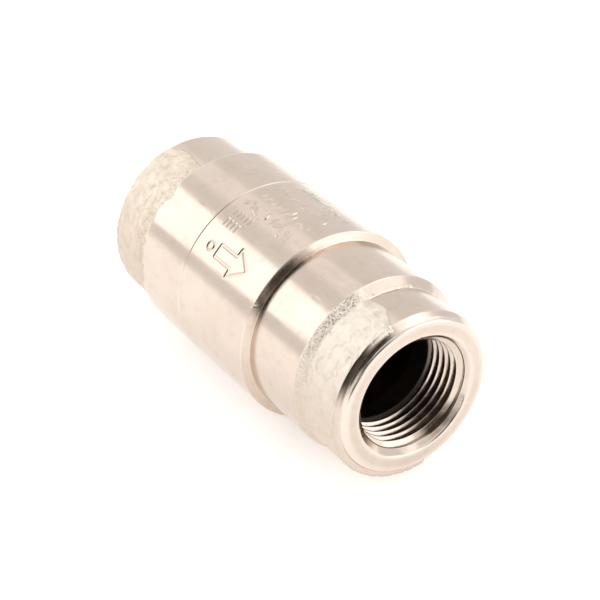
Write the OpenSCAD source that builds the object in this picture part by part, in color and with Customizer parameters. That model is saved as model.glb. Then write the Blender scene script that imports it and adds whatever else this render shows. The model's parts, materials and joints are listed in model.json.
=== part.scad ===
// In-line spring check valve with tapped ports.
// The valve's axis is X: fluid enters at the -X port and leaves at the +X port.
// Stations along the axis are X values, and the origin is halfway between the end faces.

/* [Ports] */
// Overall length from face to face
overall_length = 87.6; // [87:0.2:90]
// Radius of each mouth's chamfer at the end face
mouth_r = 13.9; // [13.5:0.05:14.3]
// Wall radius of each tapped bore, at the thread's crests
thread_wall_r = 11.85; // [11.6:0.05:12]
// Depth of each tapped bore from its end face
thread_depth = 16; // [15:0.5:17]

/* [Outside] */
// Radius of the barrel and of the cap's turned part
barrel_r = 22; // [21.6:0.1:23]
// Length of the barrel between the step and the seam
barrel_length = 25.2; // [24.8:0.1:25.6]
// Radius of the turned section beside the barrel
section_r = 20.1; // [19.8:0.1:20.4]
// Radius of the body's neck where it is smooth
neck_r = 18.3; // [17.8:0.1:18.6]
// Radius of the cap's neck where it is smooth
cap_neck_r = 19.7; // [19:0.1:20]
// Height of the as-cast skin left on one half of each neck
skin_height = 0.9; // [0.3:0.1:1.1]
// Angle from the top at which the as-cast half begins
skin_start = 13; // [0:1:40]

/* [Inside] */
// Radius of the body's spring chamber
chamber_r = 16.6; // [16.2:0.1:17]
// Radius of the cap's passage
passage_r = 10.5; // [10:0.1:11]
// Radius of the seat's hole
seat_r = 9.5; // [9:0.1:9.7]
// How far the poppet opens
travel = 5.5; // [4:0.1:5.6]
// Radius of the poppet's stem
stem_r = 2.5; // [2.4:0.05:2.6]
// Arms on the stem guide
guide_arms = 3; // [3:1:4]

/* [Spring] */
// Radius of the coil, to the middle of the wire
coil_r = 6.8; // [6.7:0.05:6.9]
// Radius of the spring's wire
wire_r = 0.55; // [0.4:0.05:0.55]
// Turns of the coil that work
active_turns = 3; // [2:1:4]

/* [Hidden] */
$fn = 96;

// Colours
nickel = "#e4d6cc";
cast_nickel = "#dccdbf";
brass = "#c8a24a";
steel = "#b9bbbf";
black_rubber = "#2b2b2d";
white_plastic = "#ecebe4";

// Gaps between pieces
joint_gap = 0.05;
running_gap = 0.06;
touch_gap = 0.02;
cut_over = 1;

// Stations along the axis
outlet_x = overall_length / 2;
inlet_x = -outlet_x;
outlet_length = 30.6;
step_x = outlet_x - outlet_length;
seam_x = step_x - barrel_length;
guide_stop_gap = 3.9;
guide_stop_x = step_x + guide_stop_gap;
guide_width = 3;
guide_face_x = guide_stop_x - guide_width;
spigot_length = 8.1;
seat_x = seam_x + spigot_length;

// Outside shape
face_r = 17.2;
bevel_length = 2.1;
cap_face_r = 19.2;
cap_bevel_length = 0.6;
neck_length = 11.8;
cone_length = 2;
step_length = 0.6;
seam_chamfer = 0.15;
cap_neck_length = 13.9;
cap_step_length = 1.7;
skin_sweep = 180;
skin_bevel = 1.6;
skin_root = 1;

// Inside shape
mouth_depth = mouth_r - thread_wall_r;
outlet_chamber_r = 15.2;
runout_length = 2;
spigot_r = 18.8;
spigot_socket_r = spigot_r + joint_gap;
ring_groove_width = 1.2;
ring_groove_depth = 0.9;
ring_groove_r = chamber_r + ring_groove_depth;
ring_land = 0.2;
ring_groove_x = guide_face_x - ring_land - ring_groove_width;

// Seals
body_seal_r = 0.95;
body_seal_mid_r = 17.85;
body_seal_groove_width = 2.4;
body_seal_groove_r = body_seal_mid_r - body_seal_r - joint_gap;
seat_seal_r = 0.8;
seat_seal_mid_r = 12.75;

// Seat ring
seat_pocket_r = 13.7;
seat_lip_r = 10.3;
seat_lip_width = 0.8;
seat_lip_height = 0.8;
seat_flange_length = 4.2;
seat_tail_r = 11.9;
seat_tail_length = 1.65;
seat_slot_width = 2.5;
seat_slot_depth = 1.3;
seat_slot_height = 2.3;
seat_flange_x = seat_x - seat_lip_height;
seat_back_x = seat_flange_x - seat_flange_length;
seat_end_x = seat_back_x - seat_tail_length;
pocket_end_x = seat_end_x - joint_gap;

// Poppet
seal_thickness = 2;
seal_r = 11.3;
disc_r = 12;
disc_thickness = 2.5;
disc_rim_height = 1;
disc_rim_ease = 0.2;
disc_bevel = 0.6;
disc_boss_taper = 0.3;
seal_bevel = 0.3;
disc_boss_r = 5.8;
disc_boss_length = 1.2;
retainer_r = 8.6;
retainer_thickness = 1.2;
retainer_bevel = 0.8;
collar_r = 4.2;
collar_length = 1.2;
stem_hole_r = stem_r + joint_gap;
washer_outer_r = 4.4;
washer_thickness = 0.9;
washer_split = 0.8;
washer_split_angle = 20;
nut_across_flats = 8;
nut_thickness = 4;
nut_bevel = 0.5;
stem_tail = 1.6;
stem_chamfer = 0.5;
stem_past_guide = 5.5;
stem_end_x = guide_stop_x + stem_past_guide;
disc_back_x = seat_x + seal_thickness + disc_thickness;
boss_x = disc_back_x + disc_boss_length;
collar_end_x = boss_x + collar_length;
retainer_end_x = seat_x - retainer_thickness;
washer_end_x = retainer_end_x - washer_thickness;
nut_end_x = washer_end_x - nut_thickness;
stem_start_x = nut_end_x - stem_tail;

// Guide and bush
stop_clearance = 0.2;
bush_x = collar_end_x + travel + stop_clearance;
bush_flange_length = 1;
hub_x = bush_x + bush_flange_length;
hub_past_guide = 4;
hub_end_x = guide_stop_x + hub_past_guide;
hub_r = 5.2;
hub_bore_r = 3.8;
bush_r = hub_bore_r - touch_gap;
bush_bore_r = stem_r + running_gap;
rim_r = chamber_r - joint_gap;
rim_inner_r = 13.9;
arm_width = 3;
arm_start_r = 4.3;
arm_end_r = 14.4;
hub_bevel = 0.6;
thrust_washer_r = 8.2;
thrust_washer_clearance = 0.1;
thrust_washer_bore_r = hub_r + thrust_washer_clearance;
thrust_washer_thickness = 0.7;

// Retaining ring
ring_clearance = 0.15;
ring_r = ring_groove_r - ring_clearance;
ring_width = 2;
ring_thickness = 1.1;
ring_gap_angle = 36;
ring_lug_r = 1.9;
ring_lug_mid_r = 14.6;
ring_lug_hole_r = 0.8;
ring_lug_hole_mid_r = 14.4;

// Spring
spring_start_x = disc_back_x + touch_gap + wire_r;
spring_end_x = guide_face_x - thrust_washer_thickness - touch_gap - wire_r;
closed_turns = 2;
all_turns = active_turns + closed_turns;
steps_per_turn = 20;
wire_sides = 8;
closed_coil_spacing = 2.1;
wire_pitch = closed_coil_spacing * wire_r;

// Turns a profile of [station, radius] points about the valve's axis, starting on the +Y side,
// which is the side that has no cast skin
module turned(points) {
    rotate([0, 90, 0])
        rotate([0, 0, 90])
            rotate_extrude()
                polygon([for (p = points) [p[1], p[0]]]);
}

// Turns a profile of [station, radius] points through a sweep that starts at an angle from the top
module part_turned(points, start, sweep) {
    rotate([0, 90, 0])
        rotate([0, 0, 180 + start])
            rotate_extrude(angle = sweep)
                polygon([for (p = points) [p[1], p[0]]]);
}

// A cylinder along the axis from one station to another
module along(from_x, to_x, r) {
    translate([from_x, 0, 0])
        rotate([0, 90, 0])
            cylinder(h = to_x - from_x, r = r);
}

// A ring of round section
module o_ring(x, mid_r, section_r) {
    translate([x, 0, 0])
        rotate([0, 90, 0])
            rotate_extrude()
                translate([mid_r, 0])
                    circle(r = section_r, $fn = 48);
}

// The as-cast skin that stands proud on half of a neck, from beside the end face into the shoulder
module cast_skin(face_x, shoulder_x, r) {
    inward = sign(shoulder_x - face_x);
    root_r = r - skin_root;
    top_r = r + skin_height;
    part_turned([[face_x + inward * bevel_length, root_r],
        [shoulder_x + inward * skin_root, root_r], [shoulder_x + inward * skin_root, top_r],
        [face_x + inward * (bevel_length + skin_bevel), top_r]], skin_start, skin_sweep);
}

module outlet_body() {
    neck_end_x = outlet_x - neck_length;
    section_x = neck_end_x - cone_length;
    thread_end_x = outlet_x - thread_depth;
    color(nickel) {
        turned([[outlet_x, mouth_r], [outlet_x, face_r],
            [outlet_x - bevel_length, neck_r], [neck_end_x, neck_r], [section_x, section_r],
            [step_x + step_length, section_r], [step_x, barrel_r],
            [seam_x + joint_gap + seam_chamfer, barrel_r],
            [seam_x + joint_gap, barrel_r - seam_chamfer],
            [seam_x + joint_gap, spigot_socket_r], [seat_x + joint_gap, spigot_socket_r],
            [seat_x + joint_gap, chamber_r], [ring_groove_x, chamber_r],
            [ring_groove_x, ring_groove_r], [ring_groove_x + ring_groove_width, ring_groove_r],
            [ring_groove_x + ring_groove_width, chamber_r], [guide_stop_x, chamber_r],
            [guide_stop_x, outlet_chamber_r], [thread_end_x - runout_length, outlet_chamber_r],
            [thread_end_x, thread_wall_r], [outlet_x - mouth_depth, thread_wall_r]]);
        cast_skin(outlet_x, section_x, neck_r);
    }
}

module inlet_cap() {
    neck_end_x = inlet_x + cap_neck_length;
    thread_end_x = inlet_x + thread_depth;
    color(cast_nickel) {
        turned([[inlet_x, mouth_r], [inlet_x, cap_face_r],
            [inlet_x + cap_bevel_length, cap_neck_r], [neck_end_x, cap_neck_r],
            [neck_end_x + cap_step_length, barrel_r], [seam_x - seam_chamfer, barrel_r],
            [seam_x, barrel_r - seam_chamfer], [seam_x, body_seal_groove_r],
            [seam_x + body_seal_groove_width, body_seal_groove_r],
            [seam_x + body_seal_groove_width, spigot_r], [seat_x - seam_chamfer, spigot_r],
            [seat_x, spigot_r - seam_chamfer], [seat_x, seat_pocket_r],
            [pocket_end_x, seat_pocket_r], [pocket_end_x, passage_r],
            [thread_end_x + runout_length, passage_r], [thread_end_x, thread_wall_r],
            [inlet_x + mouth_depth, thread_wall_r]]);
        cast_skin(inlet_x, neck_end_x + cap_step_length, cap_neck_r);
    }
}

module body_o_ring() {
    color(black_rubber)
        o_ring(seam_x + body_seal_groove_width / 2, body_seal_mid_r, body_seal_r);
}

module seat_ring() {
    color(brass)
        difference() {
            turned([[seat_x - touch_gap, seat_lip_r - seat_lip_width / 2],
                [seat_x - touch_gap, seat_lip_r + seat_lip_width / 2],
                [seat_flange_x, seat_lip_r + seat_lip_width],
                [seat_flange_x, seat_pocket_r - joint_gap],
                [seat_back_x, seat_pocket_r - joint_gap], [seat_back_x, seat_tail_r],
                [seat_end_x, seat_tail_r], [seat_end_x, seat_r],
                [seat_flange_x, seat_r]]);
            for (side = [-1, 1])
                translate([seat_flange_x, side * seat_pocket_r, 0])
                    cube([2 * seat_slot_depth, 2 * seat_slot_height, seat_slot_width],
                        center = true);
        }
}

module seat_o_ring() {
    color(black_rubber)
        o_ring(seat_back_x - seat_seal_r - joint_gap, seat_seal_mid_r, seat_seal_r);
}

module poppet_disc() {
    color(brass)
        turned([[seat_x + seal_thickness, stem_hole_r], [seat_x + seal_thickness, seal_r],
            [seat_x + seal_thickness - disc_rim_height, seal_r + joint_gap],
            [seat_x + seal_thickness - disc_rim_height, disc_r - disc_rim_ease],
            [seat_x + seal_thickness - disc_rim_height + disc_rim_ease, disc_r],
            [disc_back_x - disc_bevel, disc_r], [disc_back_x, disc_r - disc_bevel],
            [disc_back_x, disc_boss_r], [boss_x, disc_boss_r - disc_boss_taper],
            [boss_x, stem_hole_r]]);
}

module seal_disc() {
    color(black_rubber)
        turned([[seat_x, stem_hole_r], [seat_x, seal_r - seal_bevel],
            [seat_x + seal_bevel, seal_r - touch_gap],
            [seat_x + seal_thickness - touch_gap, seal_r - touch_gap],
            [seat_x + seal_thickness - touch_gap, stem_hole_r]]);
}

module seal_retainer() {
    color(brass)
        turned([[seat_x - touch_gap, stem_hole_r], [seat_x - touch_gap, retainer_r],
            [retainer_end_x + retainer_bevel, retainer_r],
            [retainer_end_x, retainer_r - retainer_bevel], [retainer_end_x, stem_hole_r]]);
}

module poppet_stem() {
    color(steel) {
        turned([[stem_start_x, 0], [stem_start_x, stem_r - stem_chamfer],
            [stem_start_x + stem_chamfer, stem_r], [boss_x + touch_gap, stem_r],
            [boss_x + touch_gap, collar_r], [collar_end_x, collar_r], [collar_end_x, stem_r],
            [stem_end_x - stem_chamfer, stem_r], [stem_end_x, stem_r - stem_chamfer],
            [stem_end_x, 0]]);
    }
}

module lock_washer() {
    color(steel)
        difference() {
            along(washer_end_x + touch_gap, retainer_end_x - touch_gap, washer_outer_r);
            along(washer_end_x - cut_over, retainer_end_x + cut_over, stem_hole_r);
            translate([washer_end_x + washer_thickness / 2, 0, washer_outer_r])
                rotate([0, 0, washer_split_angle])
                    cube([2 * washer_thickness, washer_split, 2 * (washer_outer_r - stem_r / 2)],
                        center = true);
        }
}

module stem_nut() {
    corner_r = nut_across_flats / 2 / cos(30);
    color(steel)
        intersection() {
            difference() {
                translate([nut_end_x, 0, 0])
                    rotate([0, 90, 0])
                        cylinder(h = nut_thickness, r = corner_r, $fn = 6);
                along(nut_end_x - cut_over, washer_end_x + cut_over, stem_hole_r);
            }
            turned([[nut_end_x, 0], [nut_end_x, corner_r - nut_bevel],
                [nut_end_x + nut_bevel, corner_r + joint_gap],
                [washer_end_x - nut_bevel, corner_r + joint_gap],
                [washer_end_x, corner_r - nut_bevel], [washer_end_x, 0]]);
        }
}

// Station of the wire's middle after a number of turns: closed at both ends, open between
function coil_x(turns) =
    let (
        end_turns = closed_turns / 2,
        open_length = spring_end_x - spring_start_x - 2 * end_turns * wire_pitch
    )
    turns < end_turns ? spring_start_x + turns * wire_pitch
    : turns > all_turns - end_turns ? spring_end_x - (all_turns - turns) * wire_pitch
    : spring_start_x + end_turns * wire_pitch + (turns - end_turns) / active_turns * open_length;

// A point on the wire's surface
function wire_point(turns, side) =
    let (
        a = 360 * turns,
        b = 360 * side / wire_sides,
        r = coil_r + wire_r * cos(b)
    )
    [coil_x(turns) + wire_r * sin(b), r * sin(a), r * cos(a)];

module return_spring() {
    rings = all_turns * steps_per_turn;
    points = [for (i = [0:rings]) for (k = [0:wire_sides - 1]) wire_point(i / steps_per_turn, k)];
    walls = [for (i = [0:rings - 1]) for (k = [0:wire_sides - 1])
        let (n = (k + 1) % wire_sides, a = i * wire_sides)
        [a + k, a + n, a + wire_sides + n, a + wire_sides + k]];
    start_cap = [for (k = [0:wire_sides - 1]) wire_sides - 1 - k];
    end_cap = [for (k = [0:wire_sides - 1]) rings * wire_sides + k];
    color(steel)
        polyhedron(points = points, faces = concat([start_cap], walls, [end_cap]), convexity = 8);
}

module spring_washer() {
    color(steel)
        difference() {
            along(guide_face_x - thrust_washer_thickness, guide_face_x - touch_gap, thrust_washer_r);
            along(guide_face_x - thrust_washer_thickness - cut_over, guide_face_x + cut_over,
                thrust_washer_bore_r);
        }
}

module stem_guide() {
    color(brass)
        difference() {
            union() {
                difference() {
                    along(guide_face_x, guide_stop_x - touch_gap, rim_r);
                    along(guide_face_x - cut_over, guide_stop_x + cut_over, rim_inner_r);
                }
                for (i = [0:guide_arms - 1])
                    rotate([90 + i * 360 / guide_arms, 0, 0])
                        translate([guide_face_x, -arm_width / 2, arm_start_r])
                            cube([guide_width - touch_gap, arm_width, arm_end_r - arm_start_r]);
                turned([[hub_x, hub_bore_r / 2], [hub_x, hub_r], [hub_end_x - hub_bevel, hub_r],
                    [hub_end_x, hub_r - hub_bevel], [hub_end_x, hub_bore_r / 2]]);
            }
            along(hub_x - cut_over, hub_end_x + cut_over, hub_bore_r);
        }
}

module guide_bushing() {
    color(white_plastic)
        difference() {
            union() {
                along(bush_x, hub_x - touch_gap, hub_r);
                along(bush_x, hub_end_x, bush_r);
            }
            along(bush_x - cut_over, hub_end_x + cut_over, bush_bore_r);
        }
}

module retaining_ring() {
    mid_x = ring_groove_x + ring_groove_width / 2;
    back_x = mid_x - ring_thickness / 2;
    lug_angle = ring_gap_angle / 2;
    color(steel)
        difference() {
            union() {
                part_turned([[back_x, ring_r - ring_width], [back_x, ring_r],
                    [back_x + ring_thickness, ring_r],
                    [back_x + ring_thickness, ring_r - ring_width]],
                    90 + lug_angle, 360 - ring_gap_angle);
                for (side = [-1, 1])
                    rotate([90 + side * lug_angle, 0, 0])
                        translate([0, 0, ring_lug_mid_r])
                            along(back_x, back_x + ring_thickness, ring_lug_r);
            }
            for (side = [-1, 1])
                rotate([90 + side * lug_angle, 0, 0])
                    translate([0, 0, ring_lug_hole_mid_r])
                        along(back_x - cut_over, back_x + ring_thickness + cut_over, ring_lug_hole_r);
        }
}

outlet_body();
inlet_cap();
body_o_ring();
seat_ring();
seat_o_ring();
poppet_disc();
seal_disc();
seal_retainer();
poppet_stem();
lock_washer();
stem_nut();
return_spring();
spring_washer();
stem_guide();
guide_bushing();
retaining_ring();
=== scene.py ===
import json
import math

import bpy
import numpy as np
from mathutils import Matrix, Vector


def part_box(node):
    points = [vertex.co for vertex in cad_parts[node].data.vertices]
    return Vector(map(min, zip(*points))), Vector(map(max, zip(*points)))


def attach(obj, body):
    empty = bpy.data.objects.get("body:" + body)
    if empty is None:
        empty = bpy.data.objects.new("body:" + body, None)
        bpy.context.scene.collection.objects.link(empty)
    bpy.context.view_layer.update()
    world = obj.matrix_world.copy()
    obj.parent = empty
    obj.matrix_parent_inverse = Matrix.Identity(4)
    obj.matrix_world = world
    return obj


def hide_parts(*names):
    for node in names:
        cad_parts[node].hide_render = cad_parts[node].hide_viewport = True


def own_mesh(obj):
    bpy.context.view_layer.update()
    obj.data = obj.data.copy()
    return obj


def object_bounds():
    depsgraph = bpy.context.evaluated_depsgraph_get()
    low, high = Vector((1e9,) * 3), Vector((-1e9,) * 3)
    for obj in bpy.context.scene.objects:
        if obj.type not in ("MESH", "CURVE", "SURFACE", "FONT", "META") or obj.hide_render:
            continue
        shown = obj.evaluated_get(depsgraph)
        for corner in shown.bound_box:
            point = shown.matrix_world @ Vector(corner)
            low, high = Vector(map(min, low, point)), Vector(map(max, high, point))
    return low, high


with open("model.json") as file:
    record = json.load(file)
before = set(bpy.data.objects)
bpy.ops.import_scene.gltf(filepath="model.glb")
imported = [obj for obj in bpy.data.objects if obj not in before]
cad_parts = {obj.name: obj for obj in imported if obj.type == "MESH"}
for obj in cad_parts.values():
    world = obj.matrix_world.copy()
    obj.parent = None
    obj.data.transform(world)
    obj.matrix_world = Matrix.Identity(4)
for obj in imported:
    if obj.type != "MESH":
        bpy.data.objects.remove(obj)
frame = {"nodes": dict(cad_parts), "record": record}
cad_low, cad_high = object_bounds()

# Lengths in this script are millimetres until a mesh is made. Stations run along the valve's
# axis, which is X. Angles go round it from the top, in degrees, and -Y is at 90.
MM = 0.001
TURN = 360.0

# Ports: 3/4-14 taper pipe thread, cut from CREST_R at the mouth
PITCH = 1.814
THREAD_HEIGHT = 1.42
THREAD_TAPER = 1 / 32
CREST_R = 11.85
THREAD_TURNS = 8

# Mouths. FACE_EASE is the part of each mouth's chamfer that belongs to the outside profile, which
# lets its edge be rounded. Depths in a port start there, that far behind the end face.
MOUTH_R = 13.9
FACE_EASE = 0.6

# Depths at which the ridges begin to fade and are gone, and at which the painted shade deep in the
# port begins and covers all
RIDGE_FADE = (10.6, 11.6)
PAINTED_SHADE_DEPTHS = (10.2, 11.0)

# How far out from the line of the crests the ridges are worn
WORN_HEIGHT = 0.25

# The outlet body opens out past its thread, from this depth and at this slope
RUNOUT_DEPTH = 15.85
RUNOUT_SLOPE = 1.675

# Radii of the barrel, of the turned section and of the necks, and of the as-cast skin on the necks
BARREL_R = 22.0
SECTION_R = 20.1
NECK_R = 18.3
CAP_NECK_R = 19.7
SKIN_R = 19.2
CAP_SKIN_R = 20.6

# The skin goes round half of each neck and ends at this angle
SKIN_END = 193.0

# Stations of the outlet body: the slope from section to neck, and the steep cut that ends the skin,
# with the radius at its foot
SLOPE_START = 30.0
SLOPE_END = 32.0
CUT_START = 42.45
CUT_END = 42.6
CUT_R = 17.8

# Stations of the inlet cap: the slope from neck to barrel, and its end in the seam
CAP_SLOPE_START = -29.9
CAP_SLOPE_END = -28.2
SEAM_X = -12.0

# Stations between which the barrel carries its marks
MARKS_START = -11.2
MARKS_END = 12.8

# Corners of each casting's profile that are on the outside, which are those up to the seam
BODY_OUTSIDE = 15
CAP_OUTSIDE = 9

# Spacing of rows where the surface has fine marks, where it is rough, and beside a rounded corner
FINE = 0.14
ROUGH = 0.27
CLOSE_ROW = 0.1

# Rounded corners: a smaller turn stays sharp, an arc takes at most this share of a side, and it has
# a point for each step of turn, in radians
SMALLEST_TURN = 0.02
LARGEST_SHARE = 0.45
ARC_STEP = 0.3

# Turn of the profile, in degrees, that counts as a whole worn edge
EDGE_TURN = 20


def place_object(name, data):
    """A new object in the scene."""
    obj = bpy.data.objects.new(name, data)
    bpy.context.scene.collection.objects.link(obj)
    return obj


# ---------------------------------------------------------------- noise

LATTICE = 32
LAYER_SHIFT = 7.31
lattice = np.random.default_rng(11).random((LATTICE, LATTICE, LATTICE))


def noise(points, size, layer=0):
    """Smooth noise from -1 to 1 at points, with features about size across. Layers differ."""
    p = points / size + layer * LAYER_SHIFT
    cell = np.floor(p).astype(int)
    t = p - cell
    t = t * t * (3 - 2 * t)
    total = np.zeros(points.shape[:-1])
    for corner in range(8):
        offset = np.array([corner & 1, corner >> 1 & 1, corner >> 2])
        weight = np.prod(np.where(offset == 1, t, 1 - t), axis=-1)
        i = (cell + offset) % LATTICE
        total += weight * lattice[i[..., 0], i[..., 1], i[..., 2]]
    return 2 * total - 1


def ramp(value, low, high):
    """0 below low, 1 above high, smooth between. low may be the larger."""
    t = np.clip((value - low) / (high - low), 0, 1)
    return t * t * (3 - 2 * t)


def on_surface(x, r, angle):
    """Points of the turned surface as an array of x, y, z."""
    a = np.radians(angle)
    return np.stack(np.broadcast_arrays(x, -r * np.sin(a), r * np.cos(a)), axis=-1)


# ---------------------------------------------------------------- turned shells

def corner_arc(before, here, after, fillet):
    """Points that round one corner of a profile."""
    into = here - before
    out = after - here
    turn = into.angle(out)
    if fillet == 0 or turn < SMALLEST_TURN:
        return [here]
    longest = LARGEST_SHARE * min(into.length, out.length)
    reach = min(fillet * math.tan(turn / 2), longest)
    start = here - into.normalized() * reach
    end = here + out.normalized() * reach
    steps = max(2, round(turn / ARC_STEP))
    arc = []
    for i in range(steps + 1):
        t = i / steps
        arc.append(start * (1 - t) ** 2 + here * 2 * t * (1 - t) + end * t ** 2)
    return arc


def profile_rows(corners):
    """Rows of a profile.

    Each corner is its station, its radius, its fillet and the spacing of the rows after it.
    """
    points = [Vector(c[:2]) for c in corners]
    last = len(corners) - 1
    arcs = [[points[0]]]
    for i in range(1, last):
        arcs.append(corner_arc(points[i - 1], points[i], points[i + 1], corners[i][2]))
    arcs.append([points[last]])
    rows = []
    for i in range(last):
        rows += arcs[i]
        start = arcs[i][-1]
        end = arcs[i + 1][0]
        gap = (end - start).length
        spacing = corners[i][3]
        count = max(1, round(gap / spacing))
        stops = [k / count for k in range(1, count)]
        # A close row beside each rounded corner keeps the flat beside it flat.
        if gap / count > 3 * CLOSE_ROW:
            stops = [CLOSE_ROW / gap, *stops, 1 - CLOSE_ROW / gap]
        rows += [start.lerp(end, t) for t in stops]
    rows += arcs[last]
    return np.array([tuple(p) for p in rows])


# Rows of one turn of thread, and the form of its groove, both in shares of the pitch
THREAD_FRACTIONS = [0.0, 0.025, 0.07, 0.17, 0.3, 0.42, 0.475, 0.525, 0.58, 0.7, 0.82, 0.93, 0.975]
TOOTH_STATIONS = [0.0, 0.025, 0.475, 0.525, 0.975, 1.0]
TOOTH_DEPTHS = [0.0, 0.0, 1.0, 1.0, 0.0, 0.0]


def thread_radius(depth, phase):
    """Radius of a tapped bore at a depth and at a phase of the thread in turns."""
    crest = CREST_R - depth * THREAD_TAPER
    tooth = np.interp(phase % 1.0, TOOTH_STATIONS, TOOTH_DEPTHS)
    whole = 1 - ramp(depth, *RIDGE_FADE)
    return crest + THREAD_HEIGHT * tooth * whole


class Shell:
    """A turned body with one tapped port.

    columns are the angles of its points round the axis, and inward is 1 where the port goes in
    along +X and -1 where it goes in along -X.
    """

    def __init__(self, columns, inward):
        self.columns = columns
        self.inward = inward
        self.points = []
        self.marks = []
        self.count = 0
        self.faces = []

    def add(self, x, r, columns, marks):
        """Points for a table of stations and radii. Returns the table of their numbers."""
        xyz = on_surface(x, r, columns[None, :])
        number = np.arange(self.count, self.count + x.size).reshape(x.shape)
        self.points.append(xyz.reshape(-1, 3))
        self.marks.append(np.stack([mark.ravel() for mark in marks], axis=1))
        self.count += x.size
        return number

    def skin(self, number, flip):
        """Faces between neighbours in a table of point numbers. Repeated corners are left out."""
        corners = [number[:-1, :-1], number[1:, :-1], number[1:, 1:], number[:-1, 1:]]
        quads = np.stack([c.ravel() for c in corners], axis=1)
        if flip:
            quads = quads[:, ::-1]
        for quad in quads.tolist():
            face = list(dict.fromkeys(quad))
            if len(face) > 2:
                self.faces.append(face)

    def turned(self, rows, outside_rows, detail):
        """The surface from the mouth over the outside and back through the inside to the port.

        detail gives each point's shift along the normal, its lift away from the axis, and its
        shares of cast skin, sand and painted shade along the cut. It counts on the first outside_rows
        only.
        Returns the circles of points at the mouth and at the port's deep end.
        """
        step = np.gradient(rows, axis=0)
        step /= np.linalg.norm(step, axis=1)[:, None] + 1e-12
        normal = np.stack([step[:, 1], -step[:, 0]], axis=1) * -self.inward
        x = rows[:, :1]
        r = rows[:, 1:]
        outside = (np.arange(len(rows)) < outside_rows)[:, None]
        layers = detail(x, r, self.columns[None, :], normal)
        # scale is the share of painted shade along the cut.
        shift, lift, cast, sand, scale = (layer * outside for layer in layers)
        turn = np.degrees(np.arccos(np.clip(np.sum(step[:-1] * step[1:], axis=1), -1, 1)))
        sharp = np.concatenate([[0], turn, [0]])
        edge = np.clip((sharp[:-1] + sharp[1:]) / EDGE_TURN, 0, 1)[:, None] * np.ones_like(shift)
        # Painted shade: the inside rows are dark all over, and so is the line along the cut.
        inside = 1.0 - outside * (1.0 - scale)
        number = self.add(x + normal[:, :1] * shift, r + normal[:, 1:] * shift + lift,
                          self.columns, (cast, sand, edge, inside))
        table = np.concatenate([number, number[:, :1]], axis=1)
        self.skin(table, self.inward > 0)
        return number[0], number[-1]

    def bore(self, mouth_x, first_circle, last_circle, runout):
        """The tapped port between two circles of points.

        Its rows follow the thread, so that the crests stay crisp. runout gives the radius that the
        bore has at least at a depth.
        """
        # Both threads are right-handed, so the columns are taken in opposite directions.
        order = slice(None) if self.inward > 0 else slice(None, None, -1)
        columns = self.columns[order]
        share = np.abs(columns - columns[0])[None, :] / TURN
        per_turn = len(THREAD_FRACTIONS)
        whole = THREAD_TURNS * per_turn
        k = np.arange(-per_turn, whole + per_turn + 1)
        turns = (k // per_turn + np.array(THREAD_FRACTIONS)[k % per_turn])[:, None]
        travelled = turns + share
        # A wedge of rows at each end turns the thread's slant back into a plain circle.
        travelled = np.where(turns < 0, (turns + 1) * share, travelled)
        last_wedge = THREAD_TURNS + share + (turns - THREAD_TURNS) * (1 - share)
        travelled = np.where(turns > THREAD_TURNS, last_wedge, travelled)
        depth = travelled * PITCH
        radius = np.maximum(thread_radius(depth, travelled - share), MOUTH_R - FACE_EASE - depth)
        radius = np.maximum(radius, runout(depth))
        plain = np.zeros_like(depth)
        edge = ramp(radius - CREST_R + depth * THREAD_TAPER, WORN_HEIGHT, 0.0)
        # Painted shade darkens the port deep down.
        inside = ramp(depth, *PAINTED_SHADE_DEPTHS)
        number = self.add(mouth_x + self.inward * depth, radius, columns, (plain, plain, edge, inside))
        number[:per_turn + 1, 0] = first_circle[order][0]
        number[0] = first_circle[order]
        number[-1] = last_circle[order]
        closing = number[np.minimum(np.arange(len(k)) + per_turn, len(k) - 1), 0]
        self.skin(np.concatenate([number, closing[:, None]], axis=1), False)

    def make(self, name):
        """The Blender object, without the points that no face uses.

        Its points carry the shares of cast skin, sand, worn edge, and inside, which is painted shade
        deep in the port, over the inner walls and along the skin's cut.
        """
        used = np.unique(np.concatenate([np.array(f) for f in self.faces]))
        renumber = np.zeros(self.count, int)
        renumber[used] = np.arange(len(used))
        faces = [[int(renumber[i]) for i in face] for face in self.faces]
        points = np.concatenate(self.points)[used] * MM
        marks = np.concatenate(self.marks)[used]
        mesh = bpy.data.meshes.new(name)
        mesh.from_pydata(points.tolist(), [], faces)
        for column, label in enumerate(["cast", "sand", "edge", "inside"]):
            layer = mesh.attributes.new(label, "FLOAT", "POINT")
            layer.data.foreach_set("value", marks[:, column].astype(np.float32))
        mesh.shade_smooth()
        return place_object(name, mesh)


def spaced(parts):
    """Angles from a list of start, end and step, without the last end, which is the first start."""
    angles = []
    for start, end, step in parts:
        count = round((end - start) / step)
        angles.append(start + (end - start) * np.arange(count) / count)
    return np.concatenate(angles)


# ---------------------------------------------------------------- surface detail

def skin_shares(x, r, angle, start, bank):
    """Shares from 0 to 1 on the as-cast half of a neck: of the skin's height and of its finish.

    start is the angle at which the skin begins, and bank is the width of its sloping borders.
    """
    points = on_surface(x, r, angle)
    turned = (angle - start) % TURN
    inward = np.minimum(turned, SKIN_END - start - turned)
    wander = 0.25 * noise(points, 1.9, 3) + 0.12 * noise(points, 0.7, 4)
    from_edge = np.radians(inward) * r + wander
    return np.clip(from_edge / bank, 0, 1), ramp(from_edge, -0.1, 0.35)


def cast_relief(points):
    """Height of the as-cast skin: soft lumps with fine creases between them."""
    lumps = noise(points, 3.0, 1) + 0.5 * noise(points, 1.4, 2)
    stretched = points * np.array([1.0, 0.6, 0.6])
    crease = ramp(np.abs(noise(stretched, 1.7, 6) + 0.3 * noise(points, 0.9, 12)), 0.17, 0.0)
    grain = noise(points, 0.6, 5)
    return 0.13 * lumps - 0.18 * crease + 0.025 * grain


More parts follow.
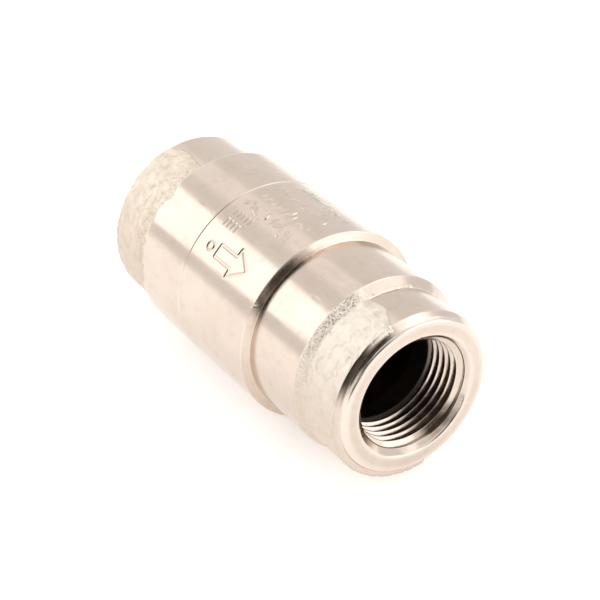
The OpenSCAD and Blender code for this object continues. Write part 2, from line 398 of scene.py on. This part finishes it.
def sand_relief(points):
    """Height of the coarse sand-cast grain on the slope between section and neck."""
    grains = noise(points, 0.5, 13) + 0.6 * noise(points, 0.95, 14)
    holes = ramp(noise(points, 0.7, 15), 0.25, 0.6)
    return 0.11 * grains - 0.16 * holes


def wear_pits(points, layer, amount):
    """Small shallow pits on turned metal."""
    return -amount * ramp(noise(points, 1.6, layer), 0.72, 0.86)


def segment_distance(x, s, a, b):
    """Distance on the unrolled surface from points to a straight stroke."""
    ax, ay = a
    dx, dy = b[0] - a[0], b[1] - a[1]
    t = np.clip(((x - ax) * dx + (s - ay) * dy) / (dx * dx + dy * dy), 0, 1)
    return np.hypot(x - ax - t * dx, s - ay - t * dy)


def outline_distance(x, s, corners):
    """Distance to a closed outline."""
    sides = zip(corners, corners[1:] + corners[:1])
    return np.minimum.reduce([segment_distance(x, s, a, b) for a, b in sides])


# Generic marks pressed into the barrel. A point is its station and its distance round the barrel
# from the line at ARROW_ANGLE. The arrow points to the outlet.
ARROW_ANGLE = 47
ARROW = [(-4.6, -1.5), (1.4, -1.5), (1.4, -3.5), (6.4, 0.0), (1.4, 3.5), (1.4, 1.5), (-4.6, 1.5)]
RING_CENTRE = (-7.2, 0.2)
RING_R = 1.0
TALLY_ROWS = ((-8.6, 5), (-5.9, 4))
TALLY_START = -8.4
TALLY_STEP = 1.35
TALLY_REACH = 0.75


def flow_marks(x, angle, r):
    """Depth of the pressed marks: an outlined flow arrow, a ring and two rows of tally strokes."""
    s = np.radians(angle - ARROW_ANGLE) * r
    depth = 0.2 * ramp(outline_distance(x, s, ARROW), 0.42, 0.16)
    from_centre = np.hypot(x - RING_CENTRE[0], s - RING_CENTRE[1])
    depth = np.maximum(depth, 0.22 * ramp(np.abs(from_centre - RING_R), 0.32, 0.1))
    for row, count in TALLY_ROWS:
        for i in range(count):
            station = TALLY_START + TALLY_STEP * i
            stroke = segment_distance(x, s, (station, row - TALLY_REACH), (station, row + TALLY_REACH))
            depth = np.maximum(depth, 0.12 * ramp(stroke, 0.3, 0.08))
    return depth


def raised_marks(x, angle, r):
    """Height of the worn marks cast on the barrel's top: short random strokes in four rows."""
    s = np.radians(angle) * r
    height = np.zeros(np.broadcast(x, s).shape)
    rng = np.random.default_rng(5)
    for row in (-7.2, -2.6, 1.9, 6.4):
        for station in np.arange(-8.5, 9.5, 1.5):
            cx = station + rng.uniform(-0.5, 0.5)
            cs = row + rng.uniform(-0.9, 0.9)
            lean = rng.uniform(0, math.pi)
            reach = rng.uniform(0.2, 0.8)
            tall = rng.uniform(0.1, 0.25)
            dx = reach * math.cos(lean)
            ds = reach * math.sin(lean)
            stroke = segment_distance(x, s, (cx - dx, cs - ds), (cx + dx, cs + ds))
            height = np.maximum(height, tall * ramp(stroke, 0.5, 0.12))
    return height


def body_detail(x, r, angle, normal):
    """What Shell.turned asks for, on the outlet body."""
    points = on_surface(x, r, angle)
    # The skin's upper border bows upwards, and slopes most gently in the middle.
    start = np.interp(x, [30.0, 36.0, 42.0], [12.0, 8.7, 17.5])
    bank = np.interp(x, [30.0, 35.0, 42.0], [0.5, 3.6, 0.8])
    height, skin = skin_shares(x, r, angle, start, bank)
    # The skin slopes down from the section, runs level and ends in a steep cut above the bevel.
    top = np.interp(x, [SLOPE_START, SLOPE_END + 0.4, CUT_START, CUT_END],
                    [SECTION_R, SKIN_R, SKIN_R, CUT_R])
    past_section = ramp(x, SLOPE_START - 0.2, SLOPE_START + 0.2)
    lift = np.maximum(0, top - r) * height * past_section * (x < CUT_END + 0.05)
    on_slope = ramp(x, SLOPE_END + 0.6, SLOPE_END) * ramp(x, SLOPE_START - 0.3, SLOPE_START + 0.1)
    on_neck = ramp(x, SLOPE_END - 0.1, SLOPE_END + 0.5) * ramp(x, CUT_END, CUT_START)
    # The sloping borders are partly rubbed bare.
    facet = ramp(height, 0.06, 0.2) * ramp(height, 0.98, 0.84) * on_neck
    skin = skin * (1 - facet * (0.3 + 0.4 * noise(points, 1.1, 17)))
    around = angle % TURN
    sand = on_slope * skin * ramp(around, 13, 20) * (0.2 + 0.8 * ramp(around, 72, 42))
    # A dark line of painted shade lies along the cut, and thins out towards both its ends.
    along_cut = ramp(x, CUT_START - 0.17, CUT_START - 0.05) * ramp(x, CUT_END + 0.2, CUT_END)
    scale = height * along_cut * ramp(around, 22, 42) * ramp(around, 82, 60)
    cast = skin * np.maximum(on_neck, on_slope) * (1 - scale)
    relief = cast_relief(points) * (1 - 0.5 * facet)
    shift = skin * on_neck * relief + sand * sand_relief(points)
    # The slope's foot is ragged on the half without skin.
    ragged = ramp(np.abs(x - SLOPE_END), 0.6, 0.1) * (1 - skin)
    shift = shift + 0.13 * ragged * noise(points, 1.0, 18)
    marked = (x > MARKS_START) & (x < MARKS_END)
    shift = shift + np.where(marked, raised_marks(x, angle, r) - flow_marks(x, angle, r), 0)
    on_face = (np.abs(normal[:, :1]) > 0.7) & (x > CUT_END + 0.4)
    shift = shift + np.where(on_face, wear_pits(points, 8, 0.08), 0)
    plain = (x < SLOPE_START - 0.4) & ~marked
    shift = shift + np.where(plain, wear_pits(points, 9, 0.05), 0)
    return shift, lift, cast, sand, scale


def cap_detail(x, r, angle, normal):
    """What Shell.turned asks for, on the inlet cap. It has no painted shade along a cut, and normal
    isn't needed.
    """
    points = on_surface(x, r, angle)
    start = np.interp(x, [-43.0, -39.0, -32.0], [14.4, 9.5, 12.6])
    height, skin = skin_shares(x, r, angle, start, 1.6)
    top = np.interp(x, [-43.3, -42.3, CAP_SLOPE_START, CAP_SLOPE_END],
                    [19.6, CAP_SKIN_R, CAP_SKIN_R, BARREL_R])
    lift = np.maximum(0, top - r) * height * (x < CAP_SLOPE_END) * (x > -43.3)
    # The skin's border on the barrel is wavy.
    wave = noise(points, 3.5, 7) + 0.45 * noise(points, 1.2, 16)
    on_neck = ramp(x, -43.4, -43.0) * ramp(x + wave, CAP_SLOPE_END + 0.6, CAP_SLOPE_END + 0.2)
    cast = skin * on_neck
    sand = cast * ramp(x + wave, -34.0, -31.0) * 0.45
    shift = cast * cast_relief(points) + 0.4 * sand * sand_relief(points)
    plain = (x > CAP_SLOPE_END + 0.4) & (x < SEAM_X - 0.4)
    shift = shift + np.where(plain, wear_pits(points, 10, 0.05), 0)
    return shift, lift, cast, sand, np.zeros_like(shift)


# ---------------------------------------------------------------- the two castings

record = frame["record"]
barrel_low, barrel_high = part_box("outlet_body")
outlet_x = barrel_high[0] / MM
barrel_start = barrel_low[0] / MM
cap_low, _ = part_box("inlet_cap")
inlet_x = cap_low[0] / MM
bore_length = (THREAD_TURNS + 1) * PITCH

# The body's columns are closest where its pressed marks, coarse grain and painted shade along the cut
# are, and the cap's over its skin.
body_columns = spaced([(-90, 18, 0.9), (18, 74, 0.36), (74, 206, 0.8), (206, 270, 1.0)])
cap_columns = spaced([(-90, 8, 1.0), (8, 200, 0.8), (200, 270, 1.0)])

# Corners as profile_rows takes them, from each mouth over the outside and back through the inside
body_corners = [
    # Mouth, face and bevel
    (outlet_x - FACE_EASE, MOUTH_R - FACE_EASE, 0, 0.2),
    (outlet_x, MOUTH_R, 0.9, 0.3),
    (outlet_x, 17.2, 1.5, FINE),
    (outlet_x - 2.1, NECK_R, 0.5, ROUGH),
    # Neck, slope and section
    (33.0, NECK_R, 0, 0.2),
    (SLOPE_END, NECK_R, 0.3, 0.2),
    (SLOPE_START, SECTION_R, 0.25, ROUGH),
    (29.0, SECTION_R, 0, 0.9),
    (13.8, SECTION_R, 0.04, 0.3),
    # Step and barrel
    (13.2, BARREL_R, 0.12, 0.4),
    (11.6, BARREL_R, 0, 0.9),
    (9.2, BARREL_R, 0, FINE),
    (-9.0, BARREL_R, 0, 0.5),
    (-11.8, BARREL_R, 0.08, 0.2),
    # Seam, and the socket for the cap
    (barrel_start, 21.85, 0, 1.0),
    (barrel_start, 18.85, 0.1, 1.5),
    (-3.85, 18.85, 0.1, 1.5),
    # Spring chamber, with the retaining ring's groove and the stem guide's stop
    (-3.85, 16.6, 0.15, 1.5),
    (12.7, 16.6, 0.05, 0.5),
    (12.7, 17.5, 0.05, 0.6),
    (13.9, 17.5, 0.05, 0.5),
    (13.9, 16.6, 0.05, 1.5),
    (17.1, 16.6, 0.05, 1.0),
    # Passage to the port
    (17.1, 15.2, 0.15, 1.2),
    (25.8, 15.2, 0.3, 0.8),
    (outlet_x - FACE_EASE - bore_length, 12.647, 0, 1),
]
cap_corners = [
    # Mouth, face and neck
    (inlet_x + FACE_EASE, MOUTH_R - FACE_EASE, 0, 0.2),
    (inlet_x, MOUTH_R, 0.9, 0.3),
    (inlet_x, 19.2, 0.4, 0.3),
    (inlet_x + 0.6, CAP_NECK_R, 0.4, ROUGH),
    # Slope and barrel
    (CAP_SLOPE_START, CAP_NECK_R, 0.5, ROUGH),
    (CAP_SLOPE_END, BARREL_R, 0.35, ROUGH),
    (-25.5, BARREL_R, 0, 0.8),
    (-12.15, BARREL_R, 0.08, 0.2),
    # Seam, the body O-ring's groove, and the spigot that fits the body
    (SEAM_X, 21.85, 0, 1.0),
    (SEAM_X, 16.85, 0.1, 0.8),
    (-9.6, 16.85, 0.1, 0.8),
    (-9.6, 18.8, 0.1, 0.8),
    (-4.05, 18.8, 0.05, 0.2),
    (-3.9, 18.65, 0.05, 1.0),
    # Pocket for the seat ring, and the passage to the port
    (-3.9, 13.7, 0.1, 1.0),
    (-10.6, 13.7, 0.1, 1.0),
    (-10.6, 10.5, 0.2, 1.5),
    (-25.8, 10.5, 0.4, 0.8),
    (inlet_x + FACE_EASE + bore_length, 11.34, 0, 1),
]


def build_casting(name, corners, columns, inward, outside_corners, detail, runout):
    """One casting with its tapped port. Only its first outside_corners are on the outside."""
    shell = Shell(columns, inward)
    rows = profile_rows(corners)
    outside_rows = len(profile_rows(corners[:outside_corners]))
    mouth, deep = shell.turned(rows, outside_rows, detail)
    shell.bore(corners[0][0], mouth, deep, runout)
    return shell.make(name)


def outlet_runout(depth):
    """The body opens out beyond its thread."""
    return CREST_R + (depth - RUNOUT_DEPTH) * RUNOUT_SLOPE


def inlet_runout(depth):
    """The cap's passage is narrower than its thread, so nothing opens out."""
    return np.zeros_like(depth)


body = build_casting("outlet_body_cast", body_corners, body_columns, -1, BODY_OUTSIDE,
                     body_detail, outlet_runout)
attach(body, "valve_body")
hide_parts("outlet_body")

cap = build_casting("inlet_cap_cast", cap_corners, cap_columns, 1, CAP_OUTSIDE,
                    cap_detail, inlet_runout)
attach(cap, "valve_body")
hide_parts("inlet_cap")


# ---------------------------------------------------------------- spring

def tube_faces(rings, sides):
    """Faces of a tube of closed rings, with a flat cap at each end."""
    faces = []
    for i in range(rings - 1):
        for k in range(sides):
            n = (k + 1) % sides
            a = i * sides
            faces.append([a + k, a + n, a + sides + n, a + sides + k])
    faces.append(list(reversed(range(sides))))
    faces.append([(rings - 1) * sides + k for k in range(sides)])
    return faces


def make_spring():
    """The return spring: a closed turn at each end and three open turns between."""
    low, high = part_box("return_spring")
    wire_r = 0.55
    coil_r = high[2] / MM - wire_r
    # In a closed turn the wire lies nearly on itself.
    closed_pitch = 2.1 * wire_r
    start_x = low[0] / MM + wire_r
    end_x = high[0] / MM - wire_r
    sides = 20
    rings = 361
    turns = np.linspace(0, 5, rings)
    open_pitch = (end_x - start_x - 2 * closed_pitch) / 3
    # The pitch changes smoothly from closed to open, as a wound spring's does.
    pitch = closed_pitch + (open_pitch - closed_pitch) * ramp(turns, 0.8, 1.2) * ramp(turns, 4.2, 3.8)
    x = np.concatenate([[0], np.cumsum((pitch[1:] + pitch[:-1]) / 2 * np.diff(turns))])
    x = start_x + x * (end_x - start_x) / x[-1]
    a = 2 * np.pi * turns[:, None]
    b = 2 * np.pi * np.arange(sides)[None, :] / sides
    station = x[:, None] + wire_r * np.sin(b)
    radius = coil_r + wire_r * np.cos(b)
    points = np.stack([station, radius * np.sin(a), radius * np.cos(a)], axis=-1).reshape(-1, 3)
    mesh = bpy.data.meshes.new("return_spring_wire")
    mesh.from_pydata((points * MM).tolist(), [], tube_faces(rings, sides))
    mesh.shade_smooth()
    return place_object("return_spring_wire", mesh)


spring = make_spring()
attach(spring, "valve_body")
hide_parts("return_spring")


# ---------------------------------------------------------------- materials

class Nodes:
    """Short calls that add shader nodes to one material."""

    def __init__(self, name):
        self.material = bpy.data.materials.new(name)
        self.material.use_nodes = True
        self.tree = self.material.node_tree
        self.shader = self.tree.nodes["Principled BSDF"]
        self.place = self.add("ShaderNodeTexCoord").outputs["Object"]

    def add(self, kind, **settings):
        """A new node with these settings."""
        node = self.tree.nodes.new(kind)
        for key, value in settings.items():
            setattr(node, key, value)
        return node

    def link(self, source, target):
        """Joins an output to an input."""
        self.tree.links.new(source, target)

    def noise(self, scale, detail=4, roughness=0.6):
        """Noise whose scale is given for each axis, in features a metre."""
        mapping = self.add("ShaderNodeMapping")
        mapping.inputs["Scale"].default_value = scale
        self.link(self.place, mapping.inputs["Vector"])
        texture = self.add("ShaderNodeTexNoise")
        texture.inputs["Scale"].default_value = 1
        texture.inputs["Detail"].default_value = detail
        texture.inputs["Roughness"].default_value = roughness
        self.link(mapping.outputs["Vector"], texture.inputs["Vector"])
        return texture.outputs["Fac"]

    def range(self, source, from_low, from_high, to_low, to_high):
        """The source mapped from one range to another, and held within the second."""
        node = self.add("ShaderNodeMapRange")
        for key, value in zip(("From Min", "From Max", "To Min", "To Max"),
                              (from_low, from_high, to_low, to_high)):
            node.inputs[key].default_value = value
        self.link(source, node.inputs["Value"])
        return node.outputs["Result"]

    def fill(self, socket, value):
        """Sets a socket: a plain value directly, anything else by a link."""
        if isinstance(value, (int, float, tuple)):
            socket.default_value = value
        else:
            self.link(value, socket)

    def math(self, operation, a, b):
        """The result of one operation on two numbers or sockets."""
        node = self.add("ShaderNodeMath", operation=operation)
        self.fill(node.inputs[0], a)
        self.fill(node.inputs[1], b)
        return node.outputs["Value"]

    def mix(self, share, a, b):
        """Colour a where share is 0 and b where it is 1."""
        node = self.add("ShaderNodeMix", data_type="RGBA")
        self.link(share, node.inputs["Factor"])
        for socket, value in ((node.inputs["A"], a), (node.inputs["B"], b)):
            self.fill(socket, (*value, 1) if isinstance(value, tuple) else value)
        return node.outputs["Result"]

    def blend(self, share, a, b):
        """Number a where share is 0 and b where it is 1."""
        node = self.add("ShaderNodeMix", data_type="FLOAT")
        self.link(share, node.inputs["Factor"])
        self.fill(node.inputs["A"], a)
        self.fill(node.inputs["B"], b)
        return node.outputs["Result"]

    def attribute(self, name):
        """A share that the mesh carries at its points."""
        return self.add("ShaderNodeAttribute", attribute_name=name).outputs["Fac"]

    def bump(self, height, distance, strength=1.0, under=None):
        """Fine relief, up to distance metres high, on top of the relief under it."""
        node = self.add("ShaderNodeBump")
        node.inputs["Strength"].default_value = strength
        node.inputs["Distance"].default_value = distance
        self.link(height, node.inputs["Height"])
        if under is not None:
            self.link(under, node.inputs["Normal"])
        return node.outputs["Normal"]

    def finish(self, **sockets):
        """Sets the shader's sockets, which are named with _ for each space."""
        for name, value in sockets.items():
            self.fill(self.shader.inputs[name.replace("_", " ")], value)
        return self.material


# Colours of the nickel plate: where it is plain, clouded, stained and worn, then of the painted shade
# inside and along the cut, of the sand left in the coarse grain, and of the painted shade on the skin
# far down
NICKEL = (0.67, 0.565, 0.485)
NICKEL_CLOUDED = (0.63, 0.525, 0.445)
NICKEL_STAINED = (0.56, 0.47, 0.405)
NICKEL_WORN = (0.80, 0.72, 0.65)
PAINTED_SHADE_DARK = (0.06, 0.045, 0.033)
SAND = (0.27, 0.20, 0.15)
SKIN_PAINTED_SHADE = (0.60, 0.49, 0.405)

# Heights, in metres, at which the painted shade on the skin starts and at which it is darkest
SKIN_SHADE_START_Z = 0.016
SKIN_SHADE_FULL_Z = 0.0


def body_metal(name, skin_dark, skin_pale):
    """Warm bright nickel plate, turned and polished, with a pale matt skin where it is as cast."""
    n = Nodes(name)
    cast = n.attribute("cast")
    sand = n.attribute("sand")
    edge = n.attribute("edge")
    inside = n.attribute("inside")
    cloud = n.noise((90, 90, 90), 3)
    stain = n.noise((260, 330, 330), 5, 0.65)
    lines = n.noise((9000, 90, 90), 3)
    grain = n.noise((420, 420, 420), 5, 0.6)
    speck = n.noise((2600, 2600, 2600), 2)
    polished = n.mix(n.range(cloud, 0.35, 0.65, 0, 1), NICKEL, NICKEL_CLOUDED)
    polished = n.mix(n.range(stain, 0.52, 0.7, 0, 0.55), polished, NICKEL_STAINED)
    polished = n.mix(n.range(edge, 0, 1, 0, 0.5), polished, NICKEL_WORN)
    # Painted shade: where inside is 1, the nickel turns near black.
    polished = n.mix(inside, polished, PAINTED_SHADE_DARK)
    skin = n.mix(n.range(grain, 0.32, 0.6, 0, 1), skin_dark, skin_pale)
    split = n.add("ShaderNodeSeparateXYZ")
    n.link(n.place, split.inputs["Vector"])
    # Painted shade: the skin is darker towards the bottom, which faces the floor.
    skin = n.mix(n.range(split.outputs["Z"], SKIN_SHADE_START_Z, SKIN_SHADE_FULL_Z, 0, 0.8), skin, SKIN_PAINTED_SHADE)
    dark_grain = n.math("MULTIPLY", sand, n.range(speck, 0.5, 0.62, 0, 0.85))
    skin = n.mix(dark_grain, skin, SAND)
    colour = n.mix(cast, polished, skin)
    line_gloss = n.range(lines, 0.3, 0.7, 0.11, 0.17)
    stain_gloss = n.range(stain, 0.45, 0.7, 0, 0.09)
    smooth_gloss = n.blend(inside, n.math("ADD", line_gloss, stain_gloss), 0.5)
    gloss = n.blend(cast, smooth_gloss, n.range(speck, 0.3, 0.7, 0.42, 0.6))
    metallic = n.range(cast, 0, 1, 1.0, 0.35)
    turning = n.bump(n.math("MULTIPLY", lines, n.math("SUBTRACT", 1, cast)), 0.000012)
    texture = n.math("ADD", grain, n.math("MULTIPLY", speck, 0.3))
    normal = n.bump(n.math("MULTIPLY", texture, cast), 0.00016, 0.7, turning)
    return n.finish(Base_Color=colour, Metallic=metallic, Roughness=gloss, Normal=normal)


def machined(name, light, dark, gloss_low, gloss_high, lines_scale, depth):
    """Metal of an inner piece, with fine lines or grain and worn bright edges."""
    n = Nodes(name)
    cloud = n.noise((300, 300, 300), 4)
    lines = n.noise(lines_scale, 3)
    worn = n.range(n.add("ShaderNodeNewGeometry").outputs["Pointiness"], 0.52, 0.6, 0, 0.6)
    colour = n.mix(n.range(cloud, 0.35, 0.68, 0, 1), light, dark)
    colour = n.mix(worn, colour, tuple(min(1.0, c * 1.25) for c in light))
    gloss = n.range(n.math("ADD", cloud, lines), 0.7, 1.3, gloss_low, gloss_high)
    return n.finish(Base_Color=colour, Metallic=1.0, Roughness=gloss, Normal=n.bump(lines, depth))


def rubber():
    """Moulded nitrile rubber: matt black with a fine grain and a paler bloom."""
    n = Nodes("seal_rubber_finish")
    cloud = n.noise((500, 500, 500), 4)
    grain = n.noise((7000, 7000, 7000), 3)
    colour = n.mix(n.range(cloud, 0.4, 0.7, 0, 1), (0.022, 0.022, 0.024), (0.045, 0.044, 0.043))
    return n.finish(Base_Color=colour, Roughness=n.range(cloud, 0.3, 0.7, 0.5, 0.72),
                    Normal=n.bump(grain, 0.00001))


def plastic():
    """Machined white plastic with faint turning lines."""
    n = Nodes("bush_plastic_finish")
    cloud = n.noise((400, 400, 400), 4)
    lines = n.noise((8000, 200, 200), 2)
    colour = n.mix(n.range(cloud, 0.35, 0.7, 0, 1), (0.80, 0.79, 0.74), (0.70, 0.68, 0.62))
    return n.finish(Base_Color=colour, Roughness=n.range(lines, 0.3, 0.7, 0.35, 0.55),
                    Normal=n.bump(lines, 0.000008))


body_nickel = body_metal("outlet_body_finish", (0.75, 0.67, 0.57), (0.86, 0.79, 0.69))
cap_nickel = body_metal("inlet_cap_finish", (0.66, 0.565, 0.45), (0.81, 0.715, 0.59))
# The brass is dark and aged, and its tone is darkened further as painted shade, so that the stem guide
# deep in the port looks black.
brass = machined("inner_brass_finish", (0.34, 0.24, 0.12), (0.22, 0.15, 0.07), 0.3, 0.48,
                 (7000, 150, 150), 0.000008)
steel = machined("inner_steel_finish", (0.60, 0.61, 0.63), (0.46, 0.47, 0.49), 0.2, 0.36,
                 (7000, 150, 150), 0.000006)
wire_steel = machined("spring_wire_finish", (0.62, 0.62, 0.64), (0.48, 0.48, 0.50), 0.2, 0.34,
                      (1200, 1200, 1200), 0.000004)
black = rubber()
white = plastic()

body.data.materials.append(body_nickel)
cap.data.materials.append(cap_nickel)
spring.data.materials.append(wire_steel)
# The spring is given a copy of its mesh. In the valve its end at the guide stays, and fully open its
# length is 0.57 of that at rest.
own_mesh(spring)

# The other pieces keep their CAD meshes, with their edges eased. These lengths are in metres.
EASE_WIDTH = 0.00012
WELD_DISTANCE = 0.000001

FINISHES = {"inner_brass": brass, "inner_steel": steel, "seal_rubber": black, "bush_plastic": white}
for part in record["subparts"]:
    node = frame["nodes"][part["node"]]
    finish = FINISHES.get(part["material_slot"])
    if finish is None or part["node"] == "return_spring":
        continue
    for material_slot in node.material_slots:
        material_slot.material = finish
    if not node.material_slots:
        node.data.materials.append(finish)
    weld = node.modifiers.new("weld", "WELD")
    weld.merge_threshold = WELD_DISTANCE
    ease = node.modifiers.new("ease", "BEVEL")
    ease.width = EASE_WIDTH
    ease.segments = 3
    ease.limit_method = "ANGLE"
    ease.angle_limit = math.radians(35)
    ease.harden_normals = True


# ---------------------------------------------------------------- camera and studio

# The photograph's viewpoint: how far the camera is turned from +Y, how far above the valve it
# stands, in degrees, and its distance. The aim is a little off the valve's centre.
LOOK_AZIMUTH = math.radians(56.45)
LOOK_ELEVATION = math.radians(32.77)
CAMERA_DISTANCE = 366.8
right = Vector((math.cos(LOOK_AZIMUTH), math.sin(LOOK_AZIMUTH), 0))
ahead = Vector((-math.sin(LOOK_AZIMUTH) * math.cos(LOOK_ELEVATION),
                math.cos(LOOK_AZIMUTH) * math.cos(LOOK_ELEVATION), -math.sin(LOOK_ELEVATION)))
above = right.cross(ahead)
aim = Vector((0.6, 0, 0)) * MM + right * 0.85 * MM - above * 0.25 * MM

camera_data = bpy.data.cameras.new("camera")
camera_data.lens = 102
camera_data.sensor_width = 36
camera_data.clip_start = 0.01
camera = place_object("camera", camera_data)
camera.location = aim - ahead * CAMERA_DISTANCE * MM
camera.rotation_euler = ahead.to_track_quat("-Z", "Y").to_euler()
bpy.context.scene.camera = camera

# Everything round the valve is in metres.
FLOOR_Z = cad_low[2]
FLOOR_REACH = 4.0
GROUND_Z = FLOOR_Z + 0.0003
GROUND_RADII = (0.17, 2.0)
ROOM_WHITE = (1.0, 0.995, 0.985, 1)
ROOM_DARK = (0.045, 0.035, 0.028, 1)


def flat_object(name, points, faces):
    """Flat faces with points in metres."""
    mesh = bpy.data.meshes.new(name)
    mesh.from_pydata(points, [], faces)
    return place_object(name, mesh)


def make_floor():
    """White paper that glows a little, so that the valve's shadow on it is faint."""
    reach = FLOOR_REACH
    points = [(-reach, -reach, FLOOR_Z), (reach, -reach, FLOOR_Z),
              (reach, reach, FLOOR_Z), (-reach, reach, FLOOR_Z)]
    floor = flat_object("floor", points, [[0, 1, 2, 3]])
    n = Nodes("floor_paper")
    patches = n.range(n.noise((3, 3, 3), 2), 0.3, 0.7, 0, 1)
    tone = n.mix(patches, (0.93, 0.925, 0.92), (0.95, 0.945, 0.94))
    floor.data.materials.append(n.finish(Base_Color=tone, Roughness=0.9, Specular_IOR_Level=0.1,
                                         Emission_Color=(1.0, 0.985, 0.965, 1),
                                         Emission_Strength=0.34))


def mirrored(lean, angle):
    """Where the camera looks by way of a mirror whose normal leans from the valve's axis.

    lean is in degrees from +X, and angle goes round the axis like every angle here.
    """
    lean = math.radians(lean)
    angle = math.radians(angle)
    out = math.sin(lean)
    normal = Vector((math.cos(lean), -out * math.sin(angle), out * math.cos(angle)))
    return ahead - normal * 2 * ahead.dot(normal)


# Dark openings in the white room, which the metal reflects, each with its half width in degrees
OPENINGS = [
    # Behind the photographer: the mouth's chamfer shows it.
    (mirrored(-45, 219), 6),
    # Above: the bevel between neck and face shows them.
    (mirrored(62, 30), 18),
    (mirrored(60, 42), 20),
    (mirrored(60, 53), 18),
    (mirrored(50, 42), 14),
    (mirrored(50, 28), 14),
    # The rounding between bevel and face shows it.
    (mirrored(36, 48), 9),
    # Low beyond the outlet: the barrel's shoulder shows it by way of the section in front.
    (Vector((0.98, -0.05, 0.19)), 14),
]

# Half the width, in degrees, over which an opening's border is blurred
OPENING_BLUR = 5


def make_world():
    """A white room. Only reflections see its dark openings."""
    world = bpy.data.worlds.new("studio")
    world.use_nodes = True
    tree = world.node_tree
    nodes = tree.nodes
    background = nodes["Background"]
    place = nodes.new("ShaderNodeTexCoord")
    path = nodes.new("ShaderNodeLightPath")
    dark = None
    for toward, width in OPENINGS:
        side = nodes.new("ShaderNodeVectorMath")
        side.operation = "DOT_PRODUCT"
        side.inputs[1].default_value = toward
        tree.links.new(place.outputs["Generated"], side.inputs[0])
        patch = nodes.new("ShaderNodeMapRange")
        patch.interpolation_type = "SMOOTHSTEP"
        patch.inputs["From Min"].default_value = math.cos(math.radians(width + OPENING_BLUR))
        patch.inputs["From Max"].default_value = math.cos(math.radians(width - OPENING_BLUR))
        tree.links.new(side.outputs["Value"], patch.inputs["Value"])
        widest = nodes.new("ShaderNodeMath")
        widest.operation = "MAXIMUM"
        tree.links.new(patch.outputs["Result"], widest.inputs[0])
        if dark is None:
            widest.inputs[1].default_value = 0
        else:
            tree.links.new(dark, widest.inputs[1])
        dark = widest.outputs["Value"]
    both = nodes.new("ShaderNodeMath")
    both.operation = "MULTIPLY"
    tree.links.new(dark, both.inputs[0])
    tree.links.new(path.outputs["Is Glossy Ray"], both.inputs[1])
    tone = nodes.new("ShaderNodeMix")
    tone.data_type = "RGBA"
    tone.inputs["A"].default_value = ROOM_WHITE
    tone.inputs["B"].default_value = ROOM_DARK
    tree.links.new(both.outputs["Value"], tone.inputs["Factor"])
    tree.links.new(tone.outputs["Result"], background.inputs["Color"])
    bpy.context.scene.world = world


def soft_light(name, toward, distance, width, height, radiance, tall=(0, 0, 1)):
    """A soft box in a direction from the valve, facing it. tall is the direction of its height."""
    back = Vector(toward).normalized()
    up = Vector(tall)
    up = (up - back * up.dot(back)).normalized()
    across = up.cross(back)
    data = bpy.data.lights.new(name, "AREA")
    data.shape = "RECTANGLE"
    data.size = width
    data.size_y = height
    # An area light's energy is in watts, so it grows with the box.
    data.energy = radiance * math.pi * width * height
    light = place_object(name, data)
    light.matrix_world = Matrix((across, up, back)).transposed().to_4x4()
    light.location = back * distance
    light.visible_camera = False


def dark_ground():
    """The dark ground past the paper's edge, on the outlet's side. Only reflections see it.

    It is a sector of a ring round the valve, just above the floor.
    """
    angles = [math.radians(a) for a in range(-36, -3, 4)]
    points = [(radius * math.cos(a), radius * math.sin(a), GROUND_Z)
              for radius in GROUND_RADII for a in angles]
    count = len(angles)
    faces = [[i, count + i, count + i + 1, i + 1] for i in range(count - 1)]
    ground = flat_object("dark_ground", points, faces)
    n = Nodes("dark_ground_cloth")
    ground.data.materials.append(n.finish(Base_Color=(0.03, 0.023, 0.018, 1), Roughness=1.0))
    ground.visible_camera = False
    ground.visible_diffuse = False
    ground.visible_transmission = False
    ground.visible_shadow = False


make_floor()
make_world()
soft_light("left_box", (-0.70, -0.549, 0.455), 0.6, 0.7, 0.34, 0.95, tall=(0, 0.455, 0.549))
soft_light("back_left_box", (-0.70, 0.124, 0.703), 0.6, 0.7, 0.2, 0.22, tall=(0, 0.985, -0.172))
soft_light("right_box", (0.80, 0.60, 0.06), 0.7, 0.42, 0.4, 0.9)
soft_light("top_box", (0.36, 0.56, 0.75), 0.7, 0.6, 0.5, 0.6)
soft_light("rim_box", (0.05, 0.40, 0.91), 0.6, 0.25, 0.44, 0.7, tall=(-0.2, 0.9, -0.4))
dark_ground()
bpy.context.scene.view_settings.view_transform = "Standard"
bpy.context.scene.view_settings.look = "None"
